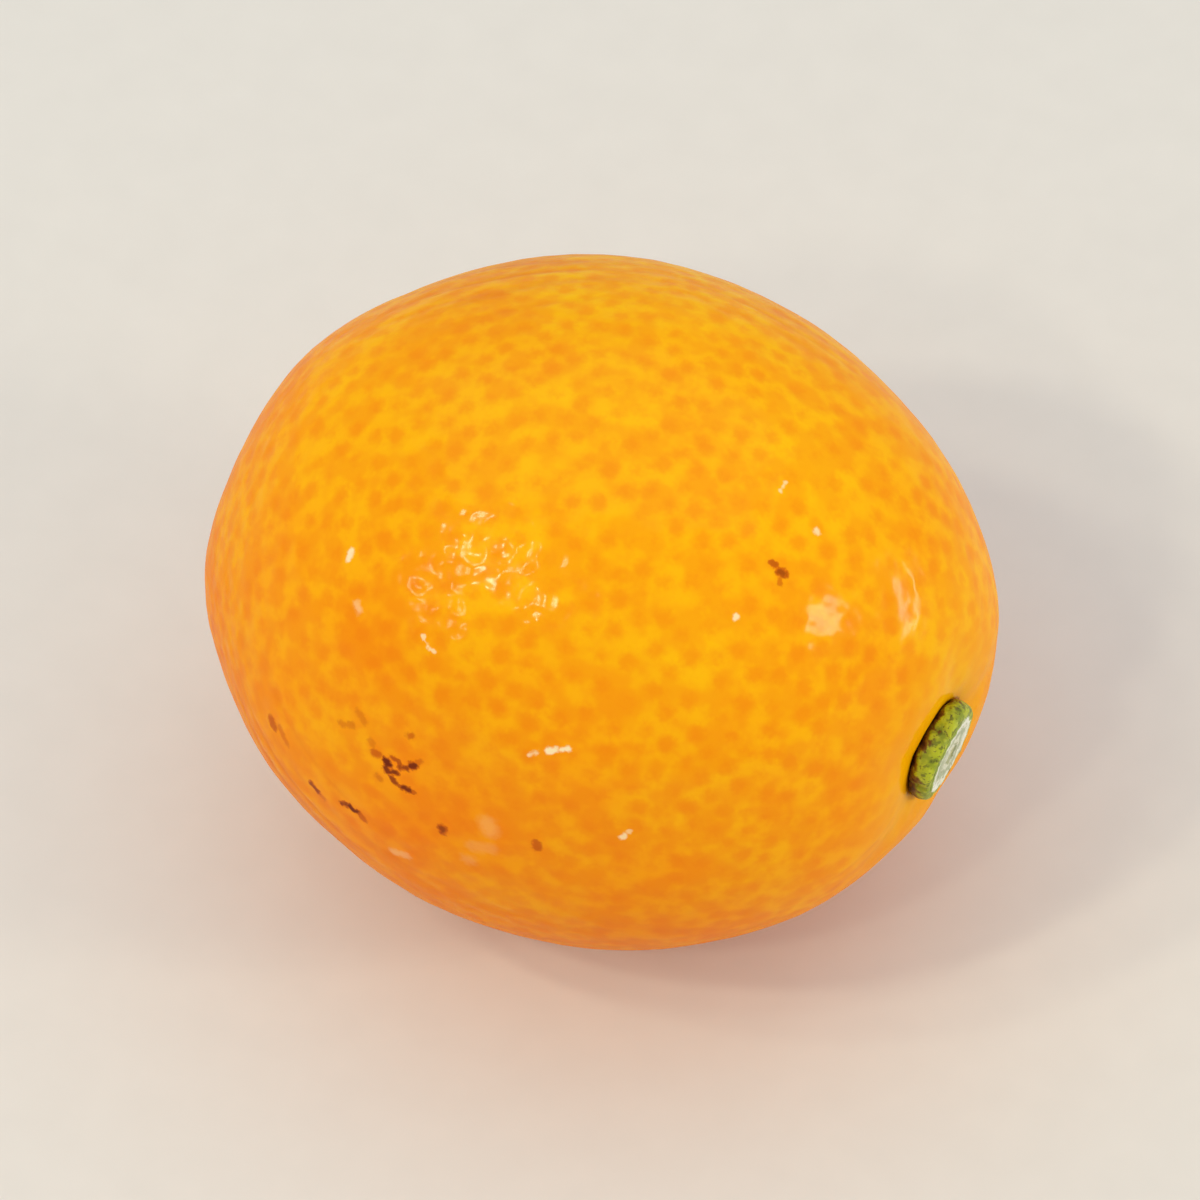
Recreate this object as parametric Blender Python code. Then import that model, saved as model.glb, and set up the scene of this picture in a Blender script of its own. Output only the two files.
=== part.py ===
"""A whole picked kumquat, lying on its side on a small flat spot.

Metres, +Z up. The fruit's long axis lies along X, with the stem end at +X. The origin is
the middle of the base of the bounding box. Three pieces: the fruit itself, the green
five-lobed calyx in the hollow of its stem end, and the cut stem stub in the calyx.
"""

import math

import bmesh
import bpy
from mathutils import Matrix, Vector, noise

# Fruit: an ellipsoid, with the stem end leaning a little off the long axis
FRUIT_LENGTH = 0.0374
FRUIT_WIDTH = 0.0320
STEM_YAW = math.radians(10.5)
STEM_PITCH = math.radians(-2.5)
AROUND = 64
RINGS = 54
POLE_CROWDING = 0.55

# Stem end: a broad hollow between rounded shoulders, and a narrower seat in its middle
HOLLOW_DEPTH = 0.00142
HOLLOW_SPREAD = math.radians(16)
SEAT_DEPTH = 0.00060
SEAT_SPREAD = math.radians(9)
CREASES = 5
CREASE_DEPTH = 0.00016
CREASE_AT = math.radians(19)
CREASE_SPREAD = math.radians(8)

# Far end: a blunt tip with the ring and pit that the fallen style left
BLUNT_DEPTH = 0.00030
BLUNT_SPREAD = 0.0042
RING_RADIUS = 0.00105
RING_HEIGHT = 0.00012
RING_SPREAD = 0.00032
PIT_DEPTH = 0.00028
PIT_SPREAD = 0.00050

# Slow unevenness of the whole skin, and the flat spot that the fruit lies on
UNEVEN_HEIGHT = 0.00028
UNEVEN_WAVES = 2.1
UNEVEN_OFFSET = Vector((11.3, 13.2, 18.1))
FLAT_SPOT_WIDTH = 0.0056

# Calyx: heights are measured from the deepest point of the hollow, along the stem. The skin
# slopes there, so the gap over it is a little larger that way than straight across
GAP = 0.0003
SEAT_GAP = 0.00039
CALYX_RADIUS = 0.00256
CALYX_HEIGHT = 0.00152
COLLAR_RADIUS = 0.00212
SIDE_STEPS = 9
LOBES = 5
LOBE_NOTCH = 0.085
LOBE_STEPS = 12
SOCKET_FLOOR = 0.00085
SOCKET_RADIUS = 0.00190

# The clippers met the stalk at a slant: how much, and the turn about the stem where it is highest
CUT_TILT = math.radians(5.5)
CUT_HIGH_SIDE = math.radians(123)

# Stem stub: a short disc of stalk with a dished, ringed face
STUB_RADIUS = SOCKET_RADIUS - GAP
STUB_TOP = 0.00166
STUB_DISH = 0.00010
STUB_STEPS = 40
SCAR_RADIUS = 0.00062
SCAR_HEIGHT = 0.00009
SCAR_SPREAD = 0.00016

SEMI_LONG = FRUIT_LENGTH / 2
SEMI_WIDE = FRUIT_WIDTH / 2


def stem_direction():
    """Unit vector from the fruit's middle towards its stem end."""
    level = math.cos(STEM_PITCH)
    return Vector((math.cos(STEM_YAW) * level, -math.sin(STEM_YAW) * level, math.sin(STEM_PITCH)))


STEM = stem_direction()
STEM_TURN = STEM.to_track_quat("Z", "Y").to_matrix()


def bell(x, spread):
    """A smooth bump of height 1 at x = 0 that has died away by two spreads."""
    return math.exp(-((x / spread) ** 2))


def relief(direction, angle, turn):
    """How far the skin stands out from the plain ellipsoid, angle being measured from the stem."""
    hollow = -HOLLOW_DEPTH * bell(angle, HOLLOW_SPREAD) - SEAT_DEPTH * bell(angle, SEAT_SPREAD)
    crease = (0.5 + 0.5 * math.cos(CREASES * turn)) ** 3
    hollow -= CREASE_DEPTH * crease * bell(angle - CREASE_AT, CREASE_SPREAD)
    away = (math.pi - angle) * SEMI_WIDE
    tip = RING_HEIGHT * bell(away - RING_RADIUS, RING_SPREAD) - PIT_DEPTH * bell(away, PIT_SPREAD)
    tip -= BLUNT_DEPTH * bell(away, BLUNT_SPREAD)
    uneven = UNEVEN_HEIGHT * noise.noise(direction * UNEVEN_WAVES + UNEVEN_OFFSET)
    return hollow + tip + uneven * min(1, angle / CREASE_AT)


def skin_point(angle, turn):
    """The skin at an angle from the stem and a turn about it, and the ellipsoid's normal there."""
    local = Vector((math.sin(angle) * math.cos(turn), math.sin(angle) * math.sin(turn), math.cos(angle)))
    direction = STEM_TURN @ local
    base = Vector((direction.x * SEMI_LONG, direction.y * SEMI_WIDE, direction.z * SEMI_WIDE))
    normal = Vector((direction.x / SEMI_LONG, direction.y / SEMI_WIDE, direction.z / SEMI_WIDE))
    normal.normalize()
    return base + normal * relief(direction, angle, turn), normal


SEAT_POINT, SEAT_NORMAL = skin_point(0, 0)


def seat_matrix():
    """The place of what grows at the stem end: Z out of the hollow, origin at its deepest point."""
    return Matrix.Translation(SEAT_POINT) @ SEAT_NORMAL.to_track_quat("Z", "Y").to_matrix().to_4x4()


def new_object(name, mesh, collection, parent):
    """A smooth-shaded object for one sub-part."""
    mesh.shade_smooth()
    made = bpy.data.objects.new(name, mesh)
    made.parent = parent
    collection.objects.link(made)
    return made


def paint(made, colour, roughness):
    """One Principled material of its own for a sub-part."""
    material = bpy.data.materials.new(made.name)
    material.use_nodes = True
    shader = material.node_tree.nodes["Principled BSDF"]
    shader.inputs["Base Color"].default_value = (*colour, 1)
    shader.inputs["Roughness"].default_value = roughness
    shader.inputs["Metallic"].default_value = 0
    made.data.materials.append(material)


def cut_flat_spot(bm):
    """Slices the lowest part of the fruit off level and closes the cut with one flat face."""
    lowest = min(v.co.z for v in bm.verts)
    sagitta = (FLAT_SPOT_WIDTH / 2) ** 2 / (2 * SEMI_WIDE)
    cut = bmesh.ops.bisect_plane(
        bm,
        geom=bm.verts[:] + bm.edges[:] + bm.faces[:],
        plane_co=(0, 0, lowest + sagitta),
        plane_no=(0, 0, -1),
        clear_outer=True,
    )
    rim = [e for e in cut["geom_cut"] if isinstance(e, bmesh.types.BMEdge)]
    bmesh.ops.holes_fill(bm, edges=rim, sides=0)


def make_fruit(collection, parent):
    """The fruit: a sphere whose rings crowd towards both ends, moved out to the skin."""
    bm = bmesh.new()
    bmesh.ops.create_uvsphere(bm, u_segments=AROUND, v_segments=RINGS, radius=1)
    for vert in bm.verts:
        angle = math.acos(max(-1, min(1, vert.co.z)))
        angle -= POLE_CROWDING * math.sin(2 * angle) / 2
        turn = math.atan2(vert.co.y, vert.co.x)
        vert.co = skin_point(angle, turn)[0]
    cut_flat_spot(bm)
    bmesh.ops.recalc_face_normals(bm, faces=bm.faces)
    mesh = bpy.data.meshes.new("fruit")
    bm.to_mesh(mesh)
    bm.free()
    made = new_object("fruit", mesh, collection, parent)
    paint(made, (0.95, 0.36, 0.01), 0.32)
    return made


def turned(name, profile, steps, shape):
    """A solid turned from a profile of (radius, height) points, each then moved by shape."""
    bm = bmesh.new()
    verts = [bm.verts.new((radius, 0, height)) for radius, height in profile]
    edges = [bm.edges.new(pair) for pair in zip(verts, verts[1:])]
    bmesh.ops.spin(
        bm,
        geom=verts + edges,
        axis=(0, 0, 1),
        cent=(0, 0, 0),
        angle=2 * math.pi,
        steps=steps,
        use_merge=True,
    )
    bmesh.ops.remove_doubles(bm, verts=bm.verts, dist=1e-6)
    for vert in bm.verts:
        vert.co = shape(vert.co)
    bmesh.ops.recalc_face_normals(bm, faces=bm.faces)
    mesh = bpy.data.meshes.new(name)
    bm.to_mesh(mesh)
    bm.free()
    return mesh


def skin_height(radius, turn):
    """Height of the skin over the deepest point of the hollow, at a distance from its middle."""
    point = skin_point(radius / SEMI_WIDE, turn)[0]
    return (point - SEAT_POINT).dot(SEAT_NORMAL)


def lobe(turn):
    """Outline of the calyx as a share of its radius: rounded lobes with narrow notches."""
    return 1 - LOBE_NOTCH * (1 - abs(math.cos(LOBES * turn / 2)) ** 0.7)


def slant(point):
    """How far the slanted cut lifts a point: nothing at the socket's floor, all of it at the rim."""
    along = point.x * math.cos(CUT_HIGH_SIDE) + point.y * math.sin(CUT_HIGH_SIDE)
    share = (point.z - SOCKET_FLOOR) / (CALYX_HEIGHT - SOCKET_FLOOR)
    return along * math.tan(CUT_TILT) * max(0, min(1, share))


def calyx_profile():
    """From the middle of the underside, up the bun-shaped side and over the lip, into the socket."""
    under = [(COLLAR_RADIUS * share, 0) for share in (0, 0.3, 0.6, 0.85)]
    bulge = CALYX_RADIUS - COLLAR_RADIUS
    side = []
    for step in range(SIDE_STEPS):
        rise = math.pi * (step / (SIDE_STEPS - 1) - 0.5)
        side.append((COLLAR_RADIUS + bulge * math.cos(rise), CALYX_HEIGHT / 2 * (1 + math.sin(rise))))
    lip = (COLLAR_RADIUS - SOCKET_RADIUS) / 2
    socket = [(SOCKET_RADIUS, CALYX_HEIGHT - lip), (SOCKET_RADIUS, SOCKET_FLOOR)]
    return under + side + socket + [(SOCKET_RADIUS * 0.5, SOCKET_FLOOR), (0, SOCKET_FLOOR)]


def shape_calyx(point):
    """Lifts the underside clear of the skin, pinches the side into lobes and slants the top."""
    radius = math.hypot(point.x, point.y)
    turn = math.atan2(point.y, point.x)
    outer = max(0, (radius - SOCKET_RADIUS) / (CALYX_RADIUS - SOCKET_RADIUS))
    share = 1 + (lobe(turn) - 1) * outer
    height = point.z + slant(point)
    if radius > SOCKET_RADIUS * 1.001 or point.z == 0:
        low = max(0, 1 - point.z / CALYX_HEIGHT)
        height += (skin_height(radius * share, turn) + SEAT_GAP) * low ** 1.5
    return Vector((point.x * share, point.y * share, height))


def stub_face(point):
    """Dishes the cut face of the stub, raises the ring scar in its middle and slants it."""
    height = point.z
    if point.z >= STUB_TOP - STUB_DISH:
        radius = math.hypot(point.x, point.y)
        dish = STUB_DISH * (1 - (radius / STUB_RADIUS) ** 2)
        height += SCAR_HEIGHT * bell(radius - SCAR_RADIUS, SCAR_SPREAD) - dish
    if point.z > STUB_DISH + SOCKET_FLOOR + GAP:
        height += slant(point)
    return Vector((point.x, point.y, height))


def stub_profile():
    """From the middle of the foot, up the side, over a rounded edge, to the middle of the face."""
    foot = SOCKET_FLOOR + GAP
    bevel = STUB_DISH * 0.8
    side = [(0, foot), (STUB_RADIUS, foot), (STUB_RADIUS, STUB_TOP - bevel * 2)]
    shoulder = [(STUB_RADIUS - bevel * 0.3, STUB_TOP - bevel * 0.6), (STUB_RADIUS - bevel, STUB_TOP)]
    face = [(SCAR_RADIUS * share, STUB_TOP) for share in (1.7, 1.3, 1, 0.7, 0.35, 0)]
    return side + shoulder + face


def make_calyx(collection, parent):
    """The green button in the hollow."""
    mesh = turned("calyx", calyx_profile(), LOBES * LOBE_STEPS, shape_calyx)
    made = new_object("calyx", mesh, collection, parent)
    made.matrix_basis = seat_matrix()
    paint(made, (0.24, 0.27, 0.08), 0.6)
    return made


def make_stem_stub(collection, parent):
    """The cut end of the stalk, standing in the calyx."""
    mesh = turned("stem_stub", stub_profile(), STUB_STEPS, stub_face)
    made = new_object("stem_stub", mesh, collection, parent)
    made.matrix_basis = seat_matrix()
    paint(made, (0.56, 0.54, 0.36), 0.8)
    return made


def settle(root, made):
    """Moves the whole kumquat so that its box stands centred on the origin."""
    bpy.context.view_layer.update()
    corners = [piece.matrix_world @ vert.co for piece in made for vert in piece.data.vertices]
    low = Vector([min(c[axis] for c in corners) for axis in range(3)])
    high = Vector([max(c[axis] for c in corners) for axis in range(3)])
    root.location = (-(low.x + high.x) / 2, -(low.y + high.y) / 2, -low.z)


def main():
    for old in list(bpy.data.objects):
        bpy.data.objects.remove(old)
    collection = bpy.data.collections.new("kumquat")
    bpy.context.scene.collection.children.link(collection)
    root = bpy.data.objects.new("kumquat_rest", None)
    collection.objects.link(root)
    made = [make_fruit(collection, root), make_calyx(collection, root), make_stem_stub(collection, root)]
    settle(root, made)


main()
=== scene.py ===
# %% [markdown]
# # A kumquat, seen close
#
# A kumquat is a citrus fruit the size of a large olive, eaten with its peel. This script
# starts from three plain solids at their real size and dresses them: the waxy peel with its
# oil glands, the green calyx, the cut end of the stalk, and the dry tip at the other end.
# Everything is in metres, in the frame that the solids come in.

# %% The frame
import math

import bmesh
import bpy
import numpy as np
from mathutils import Matrix, Vector, noise
from mathutils.bvhtree import BVHTree


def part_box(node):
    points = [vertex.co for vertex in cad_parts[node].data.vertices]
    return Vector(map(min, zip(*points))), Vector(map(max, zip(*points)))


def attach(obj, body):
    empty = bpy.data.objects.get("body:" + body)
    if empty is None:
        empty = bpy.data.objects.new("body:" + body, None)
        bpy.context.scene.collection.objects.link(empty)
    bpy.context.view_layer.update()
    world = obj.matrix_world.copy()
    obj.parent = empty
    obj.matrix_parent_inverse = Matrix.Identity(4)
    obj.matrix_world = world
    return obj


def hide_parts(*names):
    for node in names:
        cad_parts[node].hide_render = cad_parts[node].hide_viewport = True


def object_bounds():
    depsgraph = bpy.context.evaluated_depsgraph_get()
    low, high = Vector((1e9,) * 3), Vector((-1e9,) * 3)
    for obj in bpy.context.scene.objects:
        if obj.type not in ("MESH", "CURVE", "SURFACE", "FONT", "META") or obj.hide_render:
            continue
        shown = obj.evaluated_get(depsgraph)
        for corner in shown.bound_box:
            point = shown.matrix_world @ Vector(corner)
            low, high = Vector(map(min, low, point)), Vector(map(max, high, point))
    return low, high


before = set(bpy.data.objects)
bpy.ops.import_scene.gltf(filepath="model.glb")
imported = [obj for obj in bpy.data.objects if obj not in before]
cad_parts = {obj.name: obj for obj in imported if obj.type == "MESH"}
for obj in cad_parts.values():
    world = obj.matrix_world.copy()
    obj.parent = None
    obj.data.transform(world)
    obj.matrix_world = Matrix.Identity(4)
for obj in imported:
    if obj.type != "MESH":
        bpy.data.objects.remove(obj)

MM = 0.001
cad_low, cad_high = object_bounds()
print("solids:", sorted(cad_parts), "box in mm:", [round(x / MM, 2) for x in cad_high - cad_low])


# %% [markdown]
# ## Two helpers
#
# Colours are picked as sRGB hex values, as on any colour chart, but a renderer adds up light,
# so it needs linear values. The second helper adds one node to any tree, sets what it is told
# and links what it is given, so that a material reads like a list of its layers.

# %% Colours and nodes
def colour(text, alpha=1):
    """An sRGB hex colour as linear numbers."""
    parts = [int(text[i:i + 2], 16) / 255 for i in (1, 3, 5)]
    linear = [c / 12.92 if c <= 0.04045 else ((c + 0.055) / 1.055) ** 2.4 for c in parts]
    return (*linear, alpha)


def add(tree, kind, inputs=None, **settings):
    """One node: settings are its own options, inputs are socket: value or socket: output."""
    node = tree.nodes.new(kind)
    for name, value in settings.items():
        setattr(node, name, value)
    for socket, value in (inputs or {}).items():
        if isinstance(value, bpy.types.NodeSocket):
            tree.links.new(value, node.inputs[socket])
        else:
            node.inputs[socket].default_value = value
    return node


# %% [markdown]
# ## The camera
#
# The photograph looks steeply down on the fruit, a little from its stem side, from about
# 0.6 m away. A long lens at that distance keeps the same gentle perspective in a close view.

# %% Camera
VIEW_AZIMUTH = math.radians(18.2)
VIEW_ELEVATION = math.radians(52.6)
VIEW_DISTANCE = 0.60
FRUIT_SHARE_OF_FRAME = 0.66
SENSOR = 36.0

level = math.cos(VIEW_ELEVATION)
TO_VIEWER = Vector((
    math.sin(VIEW_AZIMUTH) * level,
    -math.cos(VIEW_AZIMUTH) * level,
    math.sin(VIEW_ELEVATION),
))
VIEW_RIGHT = Vector((math.cos(VIEW_AZIMUTH), math.sin(VIEW_AZIMUTH), 0))
VIEW_UP = TO_VIEWER.cross(VIEW_RIGHT)
middle = (cad_low + cad_high) / 2
frame_width = (cad_high.x - cad_low.x) / FRUIT_SHARE_OF_FRAME

camera = bpy.data.objects.new("camera", bpy.data.cameras.new("camera"))
camera.data.sensor_width = SENSOR
camera.data.lens = SENSOR * VIEW_DISTANCE / frame_width
camera.location = middle + TO_VIEWER * VIEW_DISTANCE
camera.rotation_mode = "QUATERNION"
camera.rotation_quaternion = (-TO_VIEWER).to_track_quat("-Z", "Y")
bpy.context.scene.collection.objects.link(camera)
bpy.context.scene.camera = camera
print("lens in mm:", round(camera.data.lens))


# %% [markdown]
# ## The form of the fruit
#
# The body is an ellipsoid, because a kumquat is oval and round in section. The stem end lies
# a few degrees off the long axis, in a hollow between rounded shoulders with faint creases,
# and the far end has the ring and pit of the fallen style. All of it is one formula that says
# how far the skin stands out from the ellipsoid, so every point of any mesh can be put there.

# %% Sizes of the body
FRUIT_LENGTH = 37.4 * MM
FRUIT_WIDTH = 32.0 * MM
STEM_YAW = math.radians(10.5)
STEM_PITCH = math.radians(-2.5)
HOLLOW_DEPTH = 1.42 * MM
HOLLOW_SPREAD = math.radians(16)
SEAT_DEPTH = 0.60 * MM
SEAT_SPREAD = math.radians(9)
CREASES = 5
CREASE_DEPTH = 0.16 * MM
CREASE_AT = math.radians(19)
CREASE_SPREAD = math.radians(8)
BLUNT_DEPTH = 0.30 * MM
BLUNT_SPREAD = 4.2 * MM
RING_RADIUS = 1.05 * MM
RING_HEIGHT = 0.12 * MM
RING_SPREAD = 0.32 * MM
PIT_DEPTH = 0.28 * MM
PIT_SPREAD = 0.50 * MM
UNEVEN_HEIGHT = 0.28 * MM
UNEVEN_WAVES = 2.1
UNEVEN_OFFSET = Vector((11.3, 13.2, 18.1))

SEMI_AXES = np.array([FRUIT_LENGTH / 2, FRUIT_WIDTH / 2, FRUIT_WIDTH / 2])
SEMI_WIDE = FRUIT_WIDTH / 2
STEM = Vector((
    math.cos(STEM_YAW) * math.cos(STEM_PITCH),
    -math.sin(STEM_YAW) * math.cos(STEM_PITCH),
    math.sin(STEM_PITCH),
))
STEM_TURN = np.array(STEM.to_track_quat("Z", "Y").to_matrix())


# %% The skin as a formula
def bell(x, spread):
    """A smooth bump of height 1 at x = 0 that has died away by two spreads."""
    return np.exp(-((x / spread) ** 2))


def wavy(directions, waves, offset):
    """Smooth noise over the directions, from about -1 to 1."""
    return np.array([noise.noise(Vector(d) * waves + offset) for d in directions])


def unit(vectors):
    return vectors / np.linalg.norm(vectors, axis=1, keepdims=True)


def skin(directions):
    """The skin's points and the ellipsoid's normals for unit directions from the middle."""
    local = directions @ STEM_TURN
    angle = np.arccos(np.clip(local[:, 2], -1, 1))
    turn = np.arctan2(local[:, 1], local[:, 0])
    relief = -HOLLOW_DEPTH * bell(angle, HOLLOW_SPREAD) - SEAT_DEPTH * bell(angle, SEAT_SPREAD)
    crease = (0.5 + 0.5 * np.cos(CREASES * turn)) ** 3
    relief -= CREASE_DEPTH * crease * bell(angle - CREASE_AT, CREASE_SPREAD)
    away = (math.pi - angle) * SEMI_WIDE
    relief += RING_HEIGHT * bell(away - RING_RADIUS, RING_SPREAD) - PIT_DEPTH * bell(away, PIT_SPREAD)
    relief -= BLUNT_DEPTH * bell(away, BLUNT_SPREAD)
    uneven = UNEVEN_HEIGHT * wavy(directions, UNEVEN_WAVES, UNEVEN_OFFSET)
    relief += uneven * np.minimum(1, angle / CREASE_AT)
    normals = unit(directions / SEMI_AXES)
    return directions * SEMI_AXES + normals * relief[:, None], normals


def from_stem(angle, turn):
    """Unit directions at an angle from the stem and a turn about it."""
    local = np.stack([np.sin(angle) * np.cos(turn), np.sin(angle) * np.sin(turn), np.cos(angle)], -1)
    return local.reshape(-1, 3) @ STEM_TURN.T


# %% [markdown]
# ## The skin mesh
#
# A globe's rings crowd at its poles, and fine relief would look different there. A cube whose
# faces are cut into an even grid and blown up into a ball has squares of nearly one size all
# over. Their side is about 0.2 mm, a fifth of the distance between two oil glands.

# %% An even ball, moved out to the skin
PATCH_CELLS = 128


def even_ball():
    """Mesh data of a unit ball: a gridded cube, spread so that equal steps are equal angles."""
    bm = bmesh.new()
    bmesh.ops.create_cube(bm, size=2)
    bmesh.ops.subdivide_edges(bm, edges=bm.edges[:], cuts=PATCH_CELLS - 1, use_grid_fill=True)
    mesh = bpy.data.meshes.new("skin")
    bm.to_mesh(mesh)
    bm.free()
    return mesh


def points_of(mesh):
    flat = np.empty(len(mesh.vertices) * 3, np.float32)
    mesh.vertices.foreach_get("co", flat)
    return flat.reshape(-1, 3).astype(float)


def set_points(mesh, points):
    mesh.vertices.foreach_set("co", points.astype(np.float32).ravel())
    mesh.update()


skin_mesh = even_ball()
ball = unit(np.tan(points_of(skin_mesh) * math.pi / 4))
skin_points, skin_normals = skin(ball)
print("skin:", len(ball), "points,", len(skin_mesh.polygons), "squares")


# %% [markdown]
# ## Uneven wax
#
# The skin between the glands isn't a smooth ball. It heaves a few hundredths of a millimetre,
# in swells of one to three millimetres, and that is what breaks a window's reflection into
# flecks. Two layers of noise make it, stronger in some places than in others, as on the fruit.

# %% Swells in the skin
# Each layer is a length and a height
SWELLS = [(2.6 * MM, 0.024 * MM), (1.3 * MM, 0.009 * MM)]
SWELL_WAVES = 1.7
STRONG_PATCHES = 3.1

vigour = 0.75 + 0.5 * wavy(ball, STRONG_PATCHES, UNEVEN_OFFSET)
for length, height in SWELLS:
    swell = wavy(skin_points / length, SWELL_WAVES, UNEVEN_OFFSET)
    skin_points += skin_normals * (swell * vigour * height)[:, None]


# %% [markdown]
# ## Wrinkles
#
# Where a picked fruit has begun to dry, its skin folds. The photograph has fine folds along the
# far upper side, and fainter ones at the lower edges. A fold is a thin valley that wanders and
# forks. The line where a noise crosses zero does just that, and noise that is stretched one
# way has its zero lines run that way, so the valleys are cut there.

# %% Wrinkled patches
WRINKLE_GAP = 1.5 * MM
WRINKLE_STRETCH = 9.0
WRINKLE_DEPTH = 0.05 * MM
WRINKLE_WIDTH = 0.16
# Each patch is a lean to the viewer's right and up, a reach in degrees and a strength
WRINKLE_PATCHES = [
    (-0.16, 0.95, 15, 0.8), (0.45, 0.84, 12, 0.6), (-0.78, -0.58, 18, 0.9), (0.62, -0.72, 11, 0.5),
]


def view_normal(right, up):
    """The unit vector that faces the viewer and leans this far to the right and up."""
    back = math.sqrt(max(0.0, 1 - right * right - up * up))
    return VIEW_RIGHT * right + VIEW_UP * up + TO_VIEWER * back


folds = np.zeros(len(skin_points))
for right, up, reach, strength in WRINKLE_PATCHES:
    centre = view_normal(right, up)
    across = view_normal(0, 0).cross(centre).normalized()
    onward = centre.cross(across)
    stretched = np.stack([
        skin_points @ np.array(across) / (WRINKLE_GAP * WRINKLE_STRETCH),
        skin_points @ np.array(onward) / WRINKLE_GAP,
        skin_points @ np.array(centre) / (WRINKLE_GAP * WRINKLE_STRETCH),
    ], -1)
    fold = bell(wavy(stretched, 1.0, UNEVEN_OFFSET), WRINKLE_WIDTH)
    off = np.arccos(np.clip(skin_normals @ np.array(centre), -1, 1))
    folds = np.maximum(folds, strength * fold * bell(off, math.radians(reach)))
skin_points -= skin_normals * (WRINKLE_DEPTH * folds)[:, None]
skin_mesh.attributes.new("fold", "FLOAT", "POINT").data.foreach_set("value", folds.astype(np.float32))


# %% [markdown]
# ## On its place
#
# The formula has its origin in the middle of the fruit. The solid stands with its flat spot
# on the floor, so the skin is moved until its box and the solid's agree.

# %% Put the skin where the solid is
fruit_low, fruit_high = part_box("fruit")
box_shift = (fruit_low + fruit_high) / 2 - Vector((skin_points.max(0) + skin_points.min(0)) / 2)
SHIFT = Vector((box_shift.x, box_shift.y, fruit_high.z - skin_points[:, 2].max()))
skin_points += np.array(SHIFT)
set_points(skin_mesh, skin_points)
skin_mesh.shade_smooth()
print("moved by mm:", [round(x / MM, 3) for x in SHIFT])
print("lowest point in mm, before the flat spot:", round(skin_points[:, 2].min() / MM, 3))

seat_point, seat_normal = (Vector(row[0]) for row in skin(np.array([STEM])))
SEAT = Matrix.Translation(seat_point + SHIFT) @ seat_normal.to_track_quat("Z", "Y").to_matrix().to_4x4()
tip_point, tip_normal = (Vector(row[0]) for row in skin(-np.array([STEM])))
TIP = Matrix.Translation(tip_point + SHIFT) @ tip_normal.to_track_quat("Z", "Y").to_matrix().to_4x4()


# %% [markdown]
# ## Oil glands
#
# The dots of a citrus peel are oil glands just under the skin, here about 1.3 mm apart. The
# skin sinks a little over each one. Geometry Nodes suit them: a Poisson scatter puts points
# at an even but unordered distance, and each point of the skin then asks for the nearest one.
# How much of a gland is there is kept as an attribute, so its colour sits exactly in its pit.
# Last, what hangs below the floor is lifted to it, which is the flat spot the fruit lies on.

# %% Gland tree
GLAND_SPACING = 1.05 * MM
GLAND_RADIUS = 0.52 * MM
GLAND_DEPTH = 0.020 * MM
SMALLEST_GLAND = 0.5
LARGEST_GLAND = 1.1
GLAND_SEED = 7


def group_input(tree, name, kind, value=None):
    """A named input of a tree, with its default."""
    socket = tree.interface.new_socket(name, in_out="INPUT", socket_type=kind)
    if value is not None:
        socket.default_value = value
    return socket


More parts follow.
